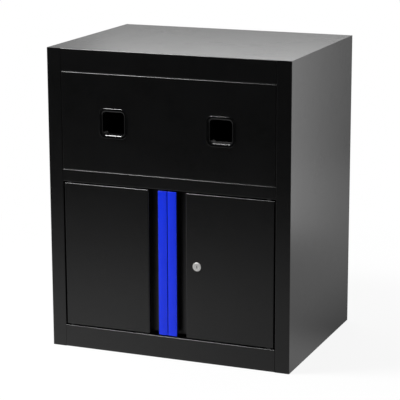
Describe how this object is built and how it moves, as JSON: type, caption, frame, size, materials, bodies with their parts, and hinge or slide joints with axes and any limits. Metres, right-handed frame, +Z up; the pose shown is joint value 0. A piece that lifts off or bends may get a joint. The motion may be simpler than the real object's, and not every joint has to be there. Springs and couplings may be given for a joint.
{
  "type": "workshop cabinet",
  "caption": "Steel workshop cabinet: a closed reel bay with square outlets over a lockable cupboard with hinged doors.",
  "frame": {"origin": "middle of the underside", "axes": "+Z up, front faces -Y, +X to the right seen from the front"},
  "size_m": [0.68, 0.5112, 0.816],
  "materials": {
    "case": "black powder coat, fine satin",
    "shelf_steel": "black powder coat",
    "door": "black powder coat, fine satin",
    "handle": "blue satin paint",
    "bezel": "black moulded, glossy",
    "rubber": "black rubber",
    "catch": "black moulded",
    "bush": "black acetal",
    "pivot": "black oxide steel",
    "lock": "nickel plated",
    "zinc": "bright zinc plated"
  },
  "bodies": {
    "cabinet": {"side_panel_right": "case", "side_panel_left": "case", "top_panel": "case", "middle_shelf": "case", "base_panel": "case", "back_panel": "case", "back_rivets": "zinc", "supply_trim": "rubber", "reel_bay_panel": "case", "reel_panel_screws": "zinc", "outlet_bezel_left": "bezel", "outlet_bezel_right": "bezel", "shelf_strip_front_left": "shelf_steel", "shelf_strip_front_right": "shelf_steel", "shelf_strip_rear_left": "shelf_steel", "shelf_strip_rear_right": "shelf_steel", "adjustable_shelf": "shelf_steel", "shelf_clips": "zinc", "hinge_pins_left": "pivot", "hinge_pins_right": "pivot", "magnetic_catch_left": "catch", "magnetic_catch_right": "catch", "catch_screws": "zinc"},
    "left_door": {"door_skin_left": "door", "door_stiffener_left": "door", "handle_strip_left": "handle", "hinge_bushes_left": "bush", "strike_plate_left": "zinc", "bolt_bracket": "zinc"},
    "right_door": {"door_skin_right": "door", "door_stiffener_right": "door", "handle_strip_right": "handle", "hinge_bushes_right": "bush", "strike_plate_right": "zinc", "lock_housing": "lock", "lock_nut": "zinc", "rod_guide_upper": "zinc", "rod_guide_lower": "zinc"},
    "left_bolt": {"slide_bolt": "zinc"},
    "lock_core": {"lock_plug": "lock", "lock_cam": "zinc", "cam_screw": "zinc"},
    "upper_rod": {"lock_rod_upper": "zinc"},
    "lower_rod": {"lock_rod_lower": "zinc"}
  },
  "joints": [
    {"name": "left_door_hinge", "type": "hinge", "parent": "cabinet", "child": "left_door", "pos_m": [-0.282, -0.2456, 0.26], "axis": [0, 0, -1], "range_deg": [0, 110]},
    {"name": "right_door_hinge", "type": "hinge", "parent": "cabinet", "child": "right_door", "pos_m": [0.282, -0.2456, 0.26], "axis": [0, 0, 1], "range_deg": [0, 110]},
    {"name": "left_bolt_slide", "type": "slide", "parent": "left_door", "child": "left_bolt", "axis": [0, 0, 1], "range_m": [0, 0.012]},
    {"name": "lock_turn", "type": "hinge", "parent": "right_door", "child": "lock_core", "pos_m": [0.084, -0.2536, 0.262], "axis": [0, -1, 0], "range_deg": [0, 90]},
    {"name": "upper_rod_slide", "type": "slide", "parent": "right_door", "child": "upper_rod", "axis": [0, 0, 1], "range_m": [0, 0.01841]},
    {"name": "lower_rod_slide", "type": "slide", "parent": "right_door", "child": "lower_rod", "axis": [0, 0, -1], "range_m": [0, 0.01841]}
  ],
  "couplings": [
    {"joint": "upper_rod_slide", "follows": "lock_turn", "m_per_rad": 0.011704},
    {"joint": "lower_rod_slide", "follows": "lock_turn", "m_per_rad": 0.011704}
  ]
}
